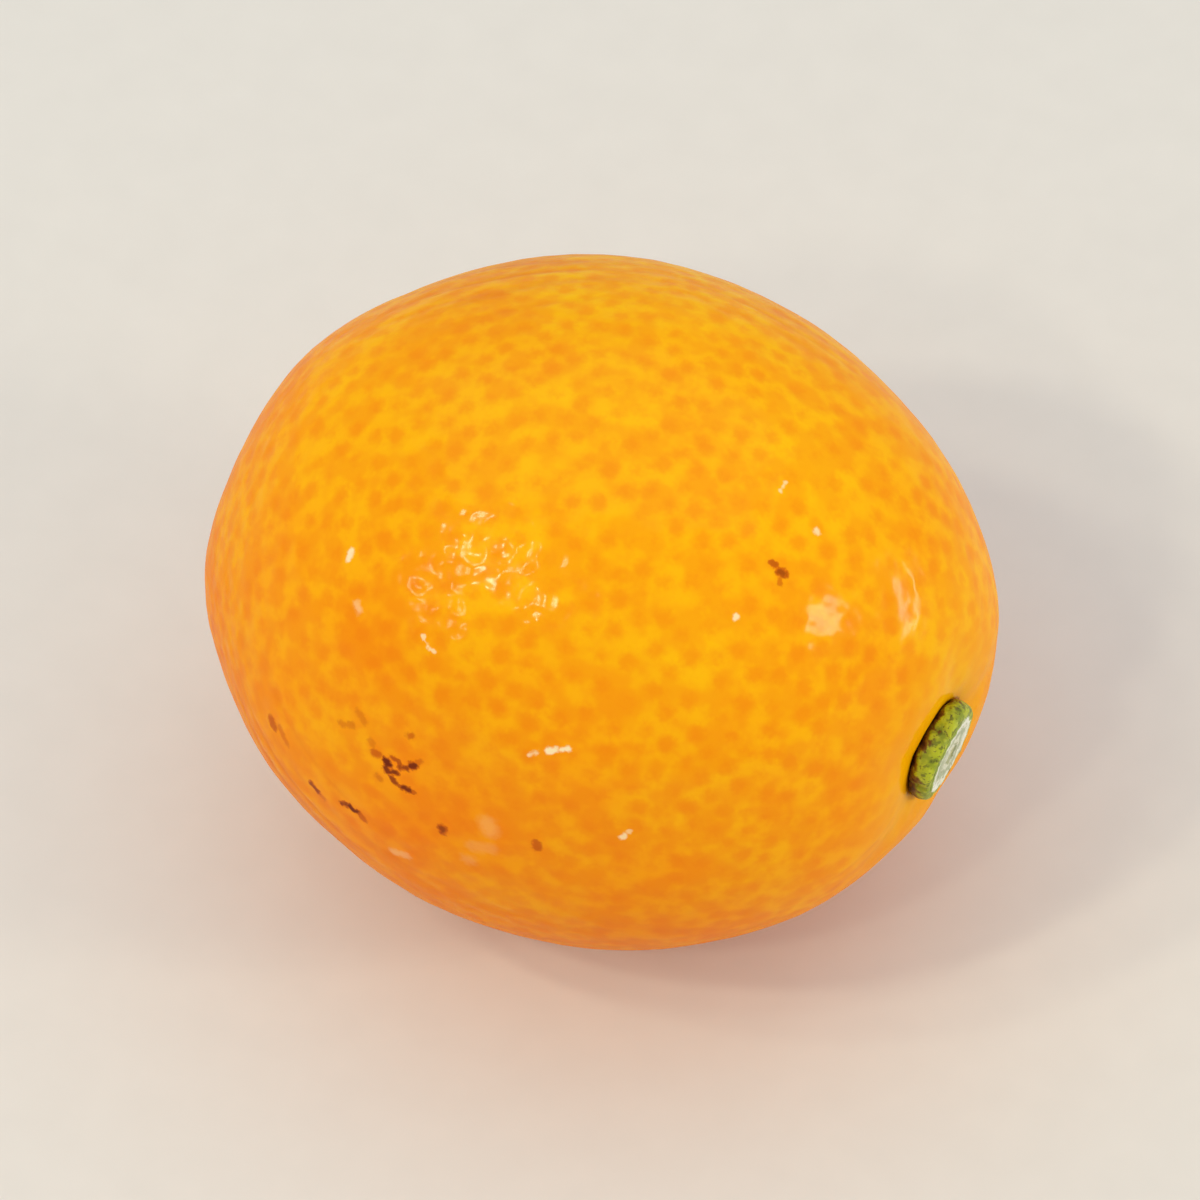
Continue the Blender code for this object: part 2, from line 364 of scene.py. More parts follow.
def gland_tree():
    tree = bpy.data.node_groups.new("Oil glands", "GeometryNodeTree")
    group_input(tree, "Skin", "NodeSocketGeometry")
    group_input(tree, "Spacing", "NodeSocketFloat", 0.001)
    group_input(tree, "Pit radius", "NodeSocketFloat", 0.0003)
    group_input(tree, "Pit depth", "NodeSocketFloat", 0.00005)
    group_input(tree, "Crowd", "NodeSocketFloat", 6e6)
    group_input(tree, "Seed", "NodeSocketInt", 0)
    group_input(tree, "Finish", "NodeSocketMaterial")
    tree.interface.new_socket("Skin", in_out="OUTPUT", socket_type="NodeSocketGeometry")
    given = add(tree, "NodeGroupInput").outputs
    scatter = add(tree, "GeometryNodeDistributePointsOnFaces", {
        "Mesh": given["Skin"], "Distance Min": given["Spacing"], "Density Max": given["Crowd"],
        "Seed": given["Seed"],
    }, distribute_method="POISSON")
    points = scatter.outputs["Points"]
    place = add(tree, "GeometryNodeInputPosition").outputs[0]
    nearest = add(tree, "GeometryNodeSampleNearest", {"Geometry": points, "Sample Position": place})
    centre = add(tree, "GeometryNodeSampleIndex", {
        "Geometry": points, "Value": place, "Index": nearest.outputs[0],
    }, data_type="FLOAT_VECTOR")
    chance = add(tree, "FunctionNodeRandomValue", {2: SMALLEST_GLAND, 3: LARGEST_GLAND}, data_type="FLOAT")
    size = add(tree, "GeometryNodeSampleIndex", {
        "Geometry": points, "Value": chance.outputs[1], "Index": nearest.outputs[0],
    }, data_type="FLOAT")
    reach = add(tree, "ShaderNodeVectorMath", {0: place, 1: centre.outputs[0]}, operation="DISTANCE")
    share = add(tree, "ShaderNodeMath", {0: reach.outputs["Value"], 1: given["Pit radius"]},
                operation="DIVIDE")
    square = add(tree, "ShaderNodeMath", {0: share.outputs[0], 1: share.outputs[0]}, operation="MULTIPLY")
    minus = add(tree, "ShaderNodeMath", {0: square.outputs[0], 1: -1.0}, operation="MULTIPLY")
    fall = add(tree, "ShaderNodeMath", {0: minus.outputs[0]}, operation="EXPONENT")
    sized = add(tree, "ShaderNodeMath", {0: fall.outputs[0], 1: size.outputs[0]}, operation="MULTIPLY")
    kept = add(tree, "GeometryNodeStoreNamedAttribute", {
        "Geometry": given["Skin"], "Name": "gland", "Value": sized.outputs[0],
    }, data_type="FLOAT", domain="POINT")
    sink = add(tree, "ShaderNodeMath", {0: sized.outputs[0], 1: given["Pit depth"]}, operation="MULTIPLY")
    inward = add(tree, "ShaderNodeMath", {0: sink.outputs[0], 1: -1.0}, operation="MULTIPLY")
    push = add(tree, "ShaderNodeVectorMath", {
        0: add(tree, "GeometryNodeInputNormal").outputs[0], "Scale": inward.outputs[0],
    }, operation="SCALE")
    pitted = add(tree, "GeometryNodeSetPosition", {"Geometry": kept.outputs[0], "Offset": push.outputs[0]})
    split = add(tree, "ShaderNodeSeparateXYZ", {0: place})
    floor_level = add(tree, "ShaderNodeMath", {0: split.outputs["Z"], 1: 0.0}, operation="MAXIMUM")
    pressed = add(tree, "ShaderNodeCombineXYZ", {
        "X": split.outputs["X"], "Y": split.outputs["Y"], "Z": floor_level.outputs[0],
    })
    resting = add(tree, "GeometryNodeSetPosition", {
        "Geometry": pitted.outputs[0], "Position": pressed.outputs[0],
    })
    real = add(tree, "GeometryNodeRealizeInstances", {"Geometry": resting.outputs[0]})
    painted = add(tree, "GeometryNodeSetMaterial", {
        "Geometry": real.outputs[0], "Material": given["Finish"],
    })
    add(tree, "NodeGroupOutput", {"Skin": painted.outputs[0]})
    return tree


# %% Run a tree and keep its result as a plain mesh
def grown(name, mesh, tree, values):
    """A new object: the mesh as the tree leaves it, with the modifier gone."""
    worker = bpy.data.objects.new(name + "_worker", mesh)
    bpy.context.scene.collection.objects.link(worker)
    modifier = worker.modifiers.new("tree", "NODES")
    modifier.node_group = tree
    for item in tree.interface.items_tree:
        if item.item_type == "SOCKET" and item.in_out == "INPUT" and item.name in values:
            modifier[item.identifier] = values[item.name]
    graph = bpy.context.evaluated_depsgraph_get()
    result = bpy.data.meshes.new_from_object(worker.evaluated_get(graph), depsgraph=graph)
    bpy.data.objects.remove(worker)
    result.name = name
    made = bpy.data.objects.new(name, result)
    bpy.context.scene.collection.objects.link(made)
    return made


glands = gland_tree()
peel_finish = bpy.data.materials.new("waxy kumquat peel")
peel = grown("peel", skin_mesh, glands, {
    "Spacing": GLAND_SPACING, "Pit radius": GLAND_RADIUS, "Pit depth": GLAND_DEPTH,
    "Seed": GLAND_SEED, "Finish": peel_finish,
})
peel.data.shade_smooth()
print("peel:", len(peel.data.vertices), "points, attributes", [a.name for a in peel.data.attributes][:8])


# %% [markdown]
# ## The marks on this fruit
#
# A real fruit carries the story of its branch: a healed scratch, a few brown dashes where a
# twig rubbed, pin-point specks and a few pale scuffs. With them go painted glints: small sharp
# reflections of the lights, painted into the peel as cream dashes and specks. They are placed
# by where the photograph shows them, in millimetres to the right of and above the fruit's
# middle, and sent back along the line of sight until they meet the skin. Each mark is a line
# through a few such points, with its half width in millimetres and its strength from 0 to 1.
# Noise later frays each one.

# %% Strokes on the skin
BROWN_MARKS = {
    "scratch head": ([(-9.78, -7.36), (-9.72, -7.52)], 0.18, 1.0),
    "scratch bend": ([(-9.84, -7.72), (-9.62, -7.88), (-9.36, -7.90)], 0.15, 0.85),
    "scratch top": ([(-9.50, -7.22), (-9.26, -7.34), (-9.14, -7.54)], 0.12, 0.6),
    "scratch arm": ([(-9.16, -7.66), (-8.86, -7.68)], 0.14, 0.75),
    "scratch arm end": ([(-8.68, -7.58), (-8.50, -7.58)], 0.16, 0.9),
    "scratch arm fade": ([(-8.40, -7.48), (-8.22, -7.38)], 0.14, 0.3),
    "scratch branch": ([(-9.58, -8.10), (-9.34, -8.40)], 0.13, 0.75),
    "scratch link": ([(-9.26, -8.46), (-9.00, -8.60)], 0.09, 0.6),
    "scratch tail": ([(-8.98, -8.62), (-8.78, -8.70)], 0.15, 0.9),
    "scratch tail end": ([(-8.70, -8.74), (-8.45, -8.82)], 0.12, 0.45),
    "fleck over it": ([(-10.34, -7.00), (-10.16, -7.04)], 0.19, 0.42),
    "fleck beside it": ([(-8.70, -6.20), (-8.62, -6.22)], 0.17, 0.35),
    "faint fleck": ([(-10.48, -6.45), (-10.42, -6.60)], 0.17, 0.22),
    "low fleck": ([(-10.18, -8.08), (-10.10, -8.16)], 0.17, 0.25),
    "edge dash": ([(-13.32, -8.46), (-13.04, -8.80)], 0.17, 0.75),
    "edge dash end": ([(-13.04, -8.80), (-12.74, -9.18)], 0.17, 0.25),
    "long dash": ([(-11.86, -9.38), (-11.66, -9.44)], 0.15, 0.8),
    "long dash middle": ([(-11.50, -9.52), (-11.20, -9.76)], 0.14, 0.95),
    "long dash end": ([(-11.08, -9.84), (-10.84, -10.14)], 0.15, 0.45),
    "left speck": ([(-15.12, -5.62), (-15.06, -5.78)], 0.28, 0.5),
    "left dash": ([(-14.76, -5.90), (-14.44, -6.60)], 0.20, 0.25),
    "faint arc": ([(-11.88, -5.64), (-11.60, -5.72), (-11.32, -5.70)], 0.17, 0.25),
    "second faint arc": ([(-11.06, -5.12), (-10.76, -5.56)], 0.18, 0.22),
    "low speck": ([(-7.24, -10.46), (-7.22, -10.58)], 0.20, 0.75),
    "lower speck": ([(-2.92, -11.12), (-2.86, -11.32)], 0.20, 0.45),
    "stem side speck": ([(7.82, 1.66), (7.92, 1.62)], 0.15, 0.55),
    "stem side spot": ([(8.18, 1.26), (8.36, 1.22)], 0.19, 0.7),
    "stem side drip": ([(8.18, 0.98), (8.20, 0.76)], 0.12, 0.3),
}
# All but the four scuffs are painted glints: small reflections of the lights, painted in as cream strokes.
PAINTED_GLINTS_AND_SCUFFS = {
    "first dash": ([(-3.24, -7.04), (-2.90, -6.92)], 0.10, 0.65),
    "second dash": ([(-2.34, -6.88), (-2.00, -6.80)], 0.13, 1.0),
    "third dash": ([(-1.74, -6.82), (-1.44, -6.76)], 0.11, 1.0),
    "streak": ([(-8.06, -1.64), (-7.86, -2.06), (-7.56, -2.36)], 0.07, 0.7),
    "left painted glint": ([(-11.48, 1.90), (-11.36, 2.22)], 0.13, 0.95),
    "left soft painted glint": ([(-11.08, -0.22), (-10.98, -0.46)], 0.17, 0.35),
    "low painted glint": ([(1.02, -10.82), (1.14, -10.74)], 0.13, 0.8),
    "low painted glint tip": ([(1.30, -10.62), (1.36, -10.54)], 0.10, 0.5),
    "edge scuff": ([(-9.50, -11.60), (-8.96, -11.76)], 0.22, 0.25),
    "soft scuff": ([(-5.18, -10.16), (-5.02, -10.56)], 0.36, 0.13),
    "low scuff": ([(-5.80, -11.30), (-5.00, -11.40)], 0.30, 0.09),
    "lowest scuff": ([(-6.10, -11.90), (-5.96, -11.96)], 0.28, 0.10),
    "speck": ([(6.14, -0.86), (6.18, -0.76)], 0.11, 0.9),
    "high speck": ([(9.86, 3.14), (9.90, 3.10)], 0.12, 0.75),
    "high streak": ([(8.18, 4.98), (8.46, 5.40)], 0.07, 0.6),
}
CLEAR_OF_FRUIT = 0.1
skin_finder = BVHTree.FromPolygons(
    [v.co for v in peel.data.vertices], [p.vertices[:] for p in peel.data.polygons]
)


def on_skin(right, up):
    """The point of the skin seen this many millimetres to the right of and above the middle."""
    start = middle + VIEW_RIGHT * right * MM + VIEW_UP * up * MM + TO_VIEWER * CLEAR_OF_FRUIT
    return skin_finder.ray_cast(start, -TO_VIEWER)[0]


def strokes_of(marks):
    """Each straight stretch of each mark: two points of the skin, a half width in mm, a strength."""
    strokes = []
    for line, width, strength in marks.values():
        points = [on_skin(*place) for place in line]
        strokes += [(a, b, width, strength) for a, b in zip(points, points[1:])]
    return strokes


brown_strokes = strokes_of(BROWN_MARKS)
glint_and_scuff_strokes = strokes_of(PAINTED_GLINTS_AND_SCUFFS)
print("strokes:", len(brown_strokes), "brown,", len(glint_and_scuff_strokes), "pale")


# %% [markdown]
# ## Peel
#
# Fresh citrus peel: a film of wax over coloured cells, ripened orange-yellow. The wax gives
# small sharp lights that its unevenness breaks into flecks. Towards the stem the wax is
# smoother, and the lights there stay whole. The cells let light in, so shadows stay warm, and
# the oil in each gland shows as a deeper orange dot in a yellow net. The stem side is the
# yellower one. Lower down the peel is painted a deeper orange, as painted shade and warm
# bounce light. The folds and a ring round the calyx are painted darker as painted shade, and a
# few cream glints are painted in as highlights. In the shader the wax is a thin coat with its
# own bump and the cells are a duller base, because a coat of less than full weight keeps the
# pale floor from washing out the colour at the edges. All its patterns are read in
# millimetres, so a noise of scale 4 has about four waves in one.

# %% Layers of a finish
def faded(tree, value, start, end, top=1.0):
    """From top at the start value down to nothing at the end value, with a soft shoulder."""
    return add(tree, "ShaderNodeMapRange", {
        "Value": value, "From Min": start, "From Max": end, "To Min": top, "To Max": 0.0,
    }, interpolation_type="SMOOTHSTEP").outputs[0]


def over(tree, below, share, above):
    """The colour above laid over the colour below, by a share from 0 to 1."""
    return add(tree, "ShaderNodeMix", {0: share, 6: below, 7: above}, data_type="RGBA").outputs[2]


# %% Masks of the marks
RAGGED_EDGE = 0.42
STROKE_CORE = 0.4
STROKE_REACH = 1.9


def stroke_mask(tree, place_mm, wobble, start, end, width, strength):
    """White on a thin stroke of the skin, fading at its ragged edge."""
    a, b = start / MM, end / MM
    span = b - a
    from_a = add(tree, "ShaderNodeVectorMath", {0: place_mm, 1: tuple(a)}, operation="SUBTRACT")
    along = add(tree, "ShaderNodeVectorMath", {0: from_a.outputs[0], 1: tuple(span)},
                operation="DOT_PRODUCT")
    share = add(tree, "ShaderNodeMath", {
        0: along.outputs["Value"], 1: max(span.length_squared, 1e-6),
    }, operation="DIVIDE", use_clamp=True)
    foot = add(tree, "ShaderNodeVectorMath", {0: tuple(span), "Scale": share.outputs[0]}, operation="SCALE")
    off = add(tree, "ShaderNodeVectorMath", {0: from_a.outputs[0], 1: foot.outputs[0]}, operation="DISTANCE")
    ragged = add(tree, "ShaderNodeMath", {0: wobble, 1: RAGGED_EDGE, 2: off.outputs["Value"]},
                 operation="MULTIPLY_ADD")
    mask = faded(tree, ragged.outputs[0], width * STROKE_CORE, width * STROKE_REACH)
    return add(tree, "ShaderNodeMath", {0: mask, 1: strength}, operation="MULTIPLY").outputs[0]


def all_strokes(tree, place_mm, wobble, strokes):
    """One mask that is white wherever any of the strokes is."""
    marked = 0.0
    for start, end, width, strength in strokes:
        mask = stroke_mask(tree, place_mm, wobble, start, end, width, strength)
        marked = add(tree, "ShaderNodeMath", {0: marked, 1: mask}, operation="MAXIMUM").outputs[0]
    return marked


# %% Ripeness and painted shade: where the peel is yellow and where it is orange
YELLOWER_PER_MM_TO_STEM = 0.010
# Painted shade and warm bounce light: the peel turns deeper orange lower down.
PAINTED_LIGHT_YELLOWER_PER_MM_UP = 0.045
YELLOW_PATCHES = 1.1
ORANGE_SHARE = 1.05


def ripeness_and_painted_shade(tree, place_mm, broad):
    """From 0, deep orange low down and at the tip side, to 1, yellow high up and at the stem side,
    in patches. The change with height is painted shade and warm bounce light.
    """
    split = add(tree, "ShaderNodeSeparateXYZ", {0: place_mm})
    to_stem = add(tree, "ShaderNodeMath", {0: split.outputs["X"], 1: YELLOWER_PER_MM_TO_STEM},
                  operation="MULTIPLY").outputs[0]
    to_top = add(tree, "ShaderNodeMath", {0: split.outputs["Z"], 1: PAINTED_LIGHT_YELLOWER_PER_MM_UP, 2: to_stem},
                 operation="MULTIPLY_ADD").outputs[0]
    patchy = add(tree, "ShaderNodeMath", {0: broad, 1: YELLOW_PATCHES, 2: to_top},
                 operation="MULTIPLY_ADD").outputs[0]
    return add(tree, "ShaderNodeMath", {0: patchy, 1: ORANGE_SHARE},
               operation="SUBTRACT", use_clamp=True).outputs[0]


# %% Peel material
def peel_colour(tree, place_mm):
    """All that is colour in the peel: yellow and orange zones, glands, folds, both ends and the marks.
    The deeper orange lower down, the darker folds and the dark ring round the calyx are painted
    shade, and the cream glints are painted highlights.
    """
    broad = add(tree, "ShaderNodeTexNoise", {"Vector": place_mm, "Scale": 0.13, "Detail": 2.0}).outputs[0]
    fine = add(tree, "ShaderNodeTexNoise", {"Vector": place_mm, "Scale": 0.7, "Detail": 2.0}).outputs[0]
    fray = add(tree, "ShaderNodeTexNoise", {"Vector": place_mm, "Scale": 4.0, "Detail": 3.0}).outputs[0]
    gland = add(tree, "ShaderNodeAttribute", attribute_name="gland").outputs["Fac"]
    fold = add(tree, "ShaderNodeAttribute", attribute_name="fold").outputs["Fac"]

    zone = ripeness_and_painted_shade(tree, place_mm, broad)
    net = over(tree, colour("#FD9400"), zone, colour("#FEC000"))
    deep = over(tree, colour("#F27400"), zone, colour("#F79A00"))
    coloured = over(tree, net, faded(tree, fine, 0.62, 0.36, 0.55), deep)
    strong = add(tree, "ShaderNodeMapRange", {
        "Value": zone, "From Min": 0.1, "From Max": 0.6, "To Min": 0.45, "To Max": 0.75,
    })
    blurred = add(tree, "ShaderNodeMath", {0: fray, 1: 0.9, 2: gland}, operation="MULTIPLY_ADD").outputs[0]
    spot = add(tree, "ShaderNodeMath", {0: faded(tree, blurred, 1.45, 0.50), 1: strong.outputs[0]},
               operation="MULTIPLY")
    coloured = over(tree, coloured, spot.outputs[0], deep)
    # Painted shade: the folds are painted a deeper orange, as if shaded.
    crease_shade = add(tree, "ShaderNodeMath", {0: fold, 1: 0.6}, operation="MULTIPLY")
    coloured = over(tree, coloured, crease_shade.outputs[0], colour("#E06800"))

    seat = add(tree, "ShaderNodeVectorMath", {0: place_mm, 1: tuple(SEAT.translation / MM)},
               operation="DISTANCE")
    frayed_seat_shade = add(tree, "ShaderNodeMath", {0: fray, 1: 0.5, 2: seat.outputs["Value"]},
                      operation="MULTIPLY_ADD").outputs[0]
    coloured = over(tree, coloured, faded(tree, seat.outputs["Value"], 2.6, 8.5, 0.65), colour("#F2B004"))
    # Painted shade: a ragged dark brown ring round the calyx, where its rim shades the skin.
    coloured = over(tree, coloured, faded(tree, frayed_seat_shade, 2.70, 2.95, 0.8), colour("#8A3402"))
    tip = add(tree, "ShaderNodeVectorMath", {0: place_mm, 1: tuple(TIP.translation / MM)},
              operation="DISTANCE")
    frayed_tip = add(tree, "ShaderNodeMath", {0: fray, 1: 0.5, 2: tip.outputs["Value"]},
                     operation="MULTIPLY_ADD").outputs[0]
    coloured = over(tree, coloured, faded(tree, frayed_tip, 0.95, 1.40, 0.75), colour("#F2CE8E"))
    coloured = over(tree, coloured, faded(tree, frayed_tip, 0.70, 0.90, 0.9), colour("#7A4A1E"))

    wobble = add(tree, "ShaderNodeMath", {0: fray, 1: 0.5}, operation="SUBTRACT").outputs[0]
    pale = all_strokes(tree, place_mm, wobble, glint_and_scuff_strokes)
    # Painted highlights: the cream glints, together with the few pale scuffs.
    coloured = over(tree, coloured, pale, colour("#FFE6B8"))
    brown = all_strokes(tree, place_mm, wobble, brown_strokes)
    coloured = over(tree, coloured, faded(tree, brown, 0.42, 0.0, 0.85), colour("#CC5A00"))
    return over(tree, coloured, faded(tree, brown, 1.0, 0.35, 0.94), colour("#661A00"))


# %% Wax over the peel
CALM_WAX = 0.50
CALM_BEGINS_MM = 2.0
CALM_FROM_MM = 9.0


def finish_peel(material):
    material.use_nodes = True
    tree = material.node_tree
    shader = tree.nodes["Principled BSDF"]
    where = add(tree, "ShaderNodeTexCoord").outputs["Object"]
    place_mm = add(tree, "ShaderNodeVectorMath", {0: where, "Scale": 1 / MM}, operation="SCALE").outputs[0]
    # Real pores are a few hundredths of a millimetre apart, too fine to show, so these are coarser
    grain = add(tree, "ShaderNodeTexNoise", {"Vector": place_mm, "Scale": 6.0, "Detail": 3.0}).outputs[0]
    heave = add(tree, "ShaderNodeTexNoise", {"Vector": place_mm, "Scale": 0.95, "Detail": 1.0}).outputs[0]
    split = add(tree, "ShaderNodeSeparateXYZ", {0: place_mm})
    unrest = faded(tree, split.outputs["X"], CALM_BEGINS_MM, CALM_FROM_MM, 1 - CALM_WAX)
    uneven = add(tree, "ShaderNodeMath", {0: unrest, 1: CALM_WAX}, operation="ADD").outputs[0]
    wax = add(tree, "ShaderNodeBump", {"Height": heave, "Strength": uneven, "Distance": 0.11 * MM})
    pores = add(tree, "ShaderNodeBump", {"Height": grain, "Strength": 0.6, "Distance": 0.008 * MM})
    tree.links.new(peel_colour(tree, place_mm), shader.inputs["Base Color"])
    tree.links.new(pores.outputs[0], shader.inputs["Normal"])
    tree.links.new(wax.outputs[0], shader.inputs["Coat Normal"])
    shader.inputs["Roughness"].default_value = 0.50
    shader.inputs["IOR"].default_value = 1.40
    shader.inputs["Specular IOR Level"].default_value = 0.0
    shader.inputs["Coat Weight"].default_value = 0.30
    shader.inputs["Coat Roughness"].default_value = 0.12
    shader.inputs["Coat IOR"].default_value = 1.45
    shader.inputs["Subsurface Weight"].default_value = 0.15
    shader.inputs["Subsurface Radius"].default_value = (1.0, 0.42, 0.08)
    shader.inputs["Subsurface Scale"].default_value = 1.2 * MM


finish_peel(peel_finish)
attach(peel, "root")
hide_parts("fruit")


# %% [markdown]
# ## Calyx
#
# The calyx is what is left of the flower's five sepals: a thick green button whose lobes have
# grown together. It sits in the hollow on a short neck, and its rim stands just free of the
# skin, which leaves a thin dark gap. A lathe-turned section gives the bun shape. One formula
# then pinches it into five unequal lobes, lets the rim follow the skin, and slants the top,
# because the clippers met the stalk at a slant. Warts come from the gland tree, turned round:
# a negative depth raises the surface over each point.

# %% Turn a section and shape it
def sort_faces(bm):
    """Puts the faces in the order of their corners. Merging points shuffles them on each run,
    and a scatter over shuffled faces would put its points elsewhere."""
    bm.verts.index_update()
    count = len(bm.verts)

    def place(face):
        first, second, third = sorted(vert.index for vert in face.verts)[:3]
        return (first * count + second) * count + third

    bm.faces.sort(key=place)


def turned(name, section, steps, shape):
    """A closed mesh: (radius, height) points turned about Z, then moved by shape, in the seat."""
    bm = bmesh.new()
    verts = [bm.verts.new((radius, 0, height)) for radius, height in section]
    edges = [bm.edges.new(pair) for pair in zip(verts, verts[1:])]
    bmesh.ops.spin(bm, geom=verts + edges, axis=(0, 0, 1), cent=(0, 0, 0),
                   angle=2 * math.pi, steps=steps, use_merge=True)
    bmesh.ops.remove_doubles(bm, verts=bm.verts, dist=1e-7)
    bmesh.ops.recalc_face_normals(bm, faces=bm.faces)
    sort_faces(bm)
    mesh = bpy.data.meshes.new(name)
    bm.to_mesh(mesh)
    bm.free()
    set_points(mesh, shape(points_of(mesh)))
    mesh.shade_smooth()
    return mesh


def arc(centre, radius, start, end, count):
    """Points of an arc in the section, angles in degrees, without its first point."""
    angles = [math.radians(start + (end - start) * (i + 1) / count) for i in range(count)]
    return [(centre[0] + radius * math.cos(a), centre[1] + radius * math.sin(a)) for a in angles]


def skin_rise(radius, turn):
    """Height of the skin over the seat's deepest point, at a distance from its middle."""
    points, _ = skin(from_stem(radius / SEMI_WIDE, turn))
    return (points - np.array(seat_point)) @ np.array(seat_normal)


# %% Slant of the cut
CUT_TILT = math.radians(5.5)

to_cut = SEAT.to_3x3().inverted() @ TO_VIEWER
CUT_HIGH_SIDE = math.atan2(to_cut.y, to_cut.x)
print("the cut is highest at a turn of", round(math.degrees(CUT_HIGH_SIDE), 1), "degrees about the stem")


def slant(points, foot, top):
    """How far the slanted cut lifts each point: nothing at the foot, all of it at the top."""
    along = points[:, 0] * math.cos(CUT_HIGH_SIDE) + points[:, 1] * math.sin(CUT_HIGH_SIDE)
    share = np.clip((points[:, 2] - foot) / (top - foot), 0, 1)
    return along * math.tan(CUT_TILT) * share


# %% Calyx section
CALYX_RADIUS = 2.58 * MM
CALYX_HEIGHT = 1.52 * MM
COLLAR_RADIUS = 2.14 * MM
COLLAR_ROUND = 0.07 * MM
SOCKET_RADIUS = 1.97 * MM
SOCKET_FLOOR = 1.20 * MM
NECK_RADIUS = 1.25 * MM
RIM_GAP = 0.10 * MM
SIDE_ROUNDNESS = 0.8
SIDE_STEPS = 26
LOBES = 5
CALYX_STEPS = LOBES * 48


def calyx_section():
    """From the foot of the neck along the underside, up the bun-shaped side, into the socket."""
    bulge = CALYX_RADIUS - COLLAR_RADIUS
    middle_height = (CALYX_HEIGHT + RIM_GAP) / 2
    half_height = (CALYX_HEIGHT - RIM_GAP) / 2
    side = []
    for step in range(SIDE_STEPS + 1):
        rise = math.radians(-86 + 176 * step / SIDE_STEPS)
        side.append((
            COLLAR_RADIUS + bulge * math.cos(rise) ** SIDE_ROUNDNESS,
            middle_height + half_height * math.sin(rise),
        ))
    reach = side[0][0] - NECK_RADIUS
    neck = [(NECK_RADIUS * i / 4, -RIM_GAP) for i in range(5)]
    under = [(NECK_RADIUS + reach * i / 8, RIM_GAP * min(1, i / 5)) for i in range(1, 8)]
    lip = arc((SOCKET_RADIUS + COLLAR_ROUND, CALYX_HEIGHT - COLLAR_ROUND), COLLAR_ROUND, 80, 180, 6)
    floor_line = [(SOCKET_RADIUS * (1 - i / 6), SOCKET_FLOOR) for i in range(7)]
    return neck + under + side + lip + floor_line


# %% Calyx mesh
LOBE_NOTCH = 0.12
LOBE_SHARPNESS = 0.55
RIM_WAVE = 0.12 * MM


def calyx_points(points):
    """Unequal lobes, a rim that waves along the skin, small dents, and the slanted top."""
    radius = np.hypot(points[:, 0], points[:, 1])
    turn = np.arctan2(points[:, 1], points[:, 0])
    outer = np.clip((radius - SOCKET_RADIUS) / (CALYX_RADIUS - SOCKET_RADIUS), 0, 1)
    uneven_turn = turn + 0.22 * np.sin(turn + 0.8) + 0.12 * np.sin(2 * turn + 2.0)
    notch = LOBE_NOTCH * (1 - np.abs(np.cos(LOBES * uneven_turn / 2)) ** LOBE_SHARPNESS)
    share = 1 + (-notch + 0.05 * wavy(points / MM, 0.8, UNEVEN_OFFSET)) * outer
    low = np.clip((CALYX_HEIGHT - points[:, 2]) / CALYX_HEIGHT, 0, 1) ** 1.5
    ring = np.stack([np.cos(turn), np.sin(turn), np.zeros(len(turn))], -1)
    wave = RIM_WAVE * wavy(ring, 1.7, UNEVEN_OFFSET) * outer
    lift = (skin_rise(radius * share, turn) + wave) * low
    dents = 0.05 * MM * wavy(points / MM, 2.6, UNEVEN_OFFSET) * outer
    lift += dents + slant(points, RIM_GAP, CALYX_HEIGHT)
    return np.stack([points[:, 0] * share, points[:, 1] * share, points[:, 2] + lift], -1)


WART_SPACING = 0.26 * MM
WART_RADIUS = 0.10 * MM
WART_HEIGHT = 0.022 * MM

calyx_finish = bpy.data.materials.new("drying green sepal")
calyx_body = turned("calyx_body", calyx_section(), CALYX_STEPS, calyx_points)
calyx_body.transform(SEAT)
calyx = grown("calyx_button", calyx_body, glands, {
    "Spacing": WART_SPACING, "Pit radius": WART_RADIUS, "Pit depth": -WART_HEIGHT,
    "Crowd": 60e6, "Seed": 3, "Finish": calyx_finish,
})
calyx.data.shade_smooth()
print("calyx:", len(calyx.data.polygons), "faces")


# %% [markdown]
# ## Calyx finish
#
# Living sepal tissue, lime green where it still holds water, and olive, brown and maroon where
# it dries: along the rim, in the furrows and in small spots. It is duller than the peel, so
# the eye sees its green first and only a soft light on each wart.

